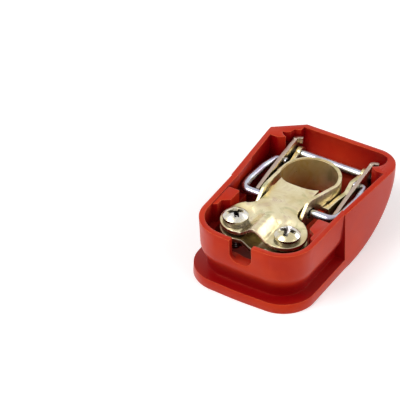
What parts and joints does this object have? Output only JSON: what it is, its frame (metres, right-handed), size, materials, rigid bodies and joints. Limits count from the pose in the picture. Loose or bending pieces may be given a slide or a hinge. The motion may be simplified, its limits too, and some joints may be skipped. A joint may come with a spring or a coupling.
{
  "type": "quick-release battery terminal clamp",
  "caption": "Quick-release battery terminal clamp in its lever cover: a post ring and cable clamp plates hinged in a moulded cover, locked by a wire bail.",
  "frame": {"origin": "centre of the bounding box, on the plane that the closed face of the cover stands on", "axes": "+Z out of the open side of the cover, +Y towards the lever pivot, -Y the way the cable leaves, +X across"},
  "size_m": [0.0486, 0.0719, 0.0238],
  "materials": {
    "cover_plastic": "satin moulded red plastic",
    "gold_steel": "pressed steel with a pale gold passivated zinc coat",
    "pin_steel": "bright zinc-plated steel",
    "wire_steel": "blue-bright zinc-plated steel wire",
    "screw_steel": "bright zinc-plated steel with a faint gold tint"
  },
  "bodies": {
    "lever": {"cover": "cover_plastic", "lever_plate_left": "gold_steel", "lever_plate_right": "gold_steel", "pivot_pin": "pin_steel"},
    "clamp": {"upper_strap": "gold_steel", "lower_saddle": "gold_steel", "clamp_screw_left": "screw_steel", "clamp_screw_right": "screw_steel", "spring_washer_left": "screw_steel", "spring_washer_right": "screw_steel"},
    "ring": {"post_ring": "gold_steel"},
    "bail": {"bail": "wire_steel"}
  },
  "joints": [
    {"name": "lever_hinge", "type": "hinge", "parent": "lever", "child": "clamp", "pos_m": [0, 0.0288, 0.015], "axis": [-1, 0, 0], "range_deg": [0, 45]},
    {"name": "bail_hinge", "type": "hinge", "parent": "lever", "child": "bail", "pos_m": [0, 0.0204, 0.0164], "axis": [-1, 0, 0], "range_deg": [0, 62]},
    {"name": "ring_slide", "type": "slide", "parent": "clamp", "child": "ring", "axis": [0, 1, 0], "range_m": [0, 0.00295]}
  ],
  "couplings": [
    {"joint": "bail_hinge", "follows": "lever_hinge", "ratio": 1.36},
    {"joint": "ring_slide", "follows": "lever_hinge", "m_per_rad": 0.003692}
  ]
}
